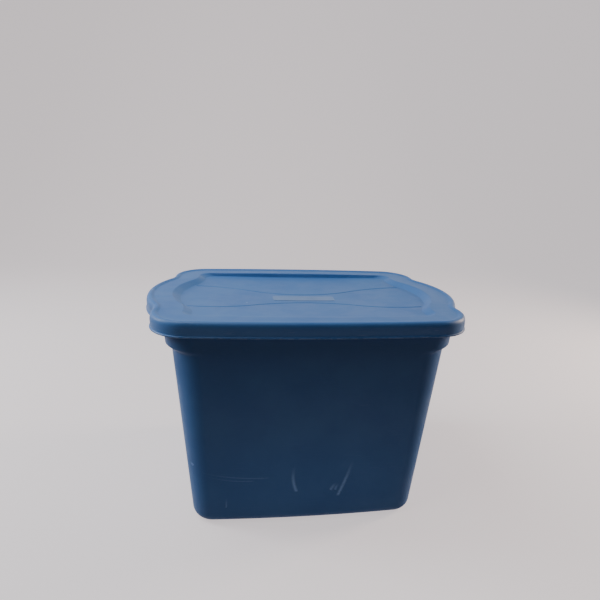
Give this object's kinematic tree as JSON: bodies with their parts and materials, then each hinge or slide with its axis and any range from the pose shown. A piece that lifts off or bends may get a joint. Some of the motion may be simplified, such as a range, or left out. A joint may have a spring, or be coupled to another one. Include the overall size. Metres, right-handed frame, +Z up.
{
  "type": "storage tote",
  "caption": "Deep tapered storage tote with a separate press-on lid, a lobed rim with hand holds under its ends, and a recessed lid panel that the next tote's base sits in.",
  "frame": {"origin": "centre of the tote's footprint, on the surface it stands on", "axes": "+X along the long side, +Y across it, +Z up; both ends and both long sides are alike"},
  "size_m": [0.6038, 0.4, 0.405],
  "materials": {
    "tub_polyethylene": "injection-moulded polyethylene, fine even grain with a soft sheen, mid blue, scuffed white in places",
    "lid_polyethylene": "injection-moulded polyethylene, fine even grain with a soft sheen, slightly lighter blue than the tub"
  },
  "bodies": {
    "tub": {"tub": "tub_polyethylene"},
    "lid": {"lid": "lid_polyethylene"}
  },
  "joints": [
    {"name": "lid_lift", "type": "slide", "parent": "tub", "child": "lid", "axis": [0, 0, 1], "range_m": [0, 0.25]}
  ]
}
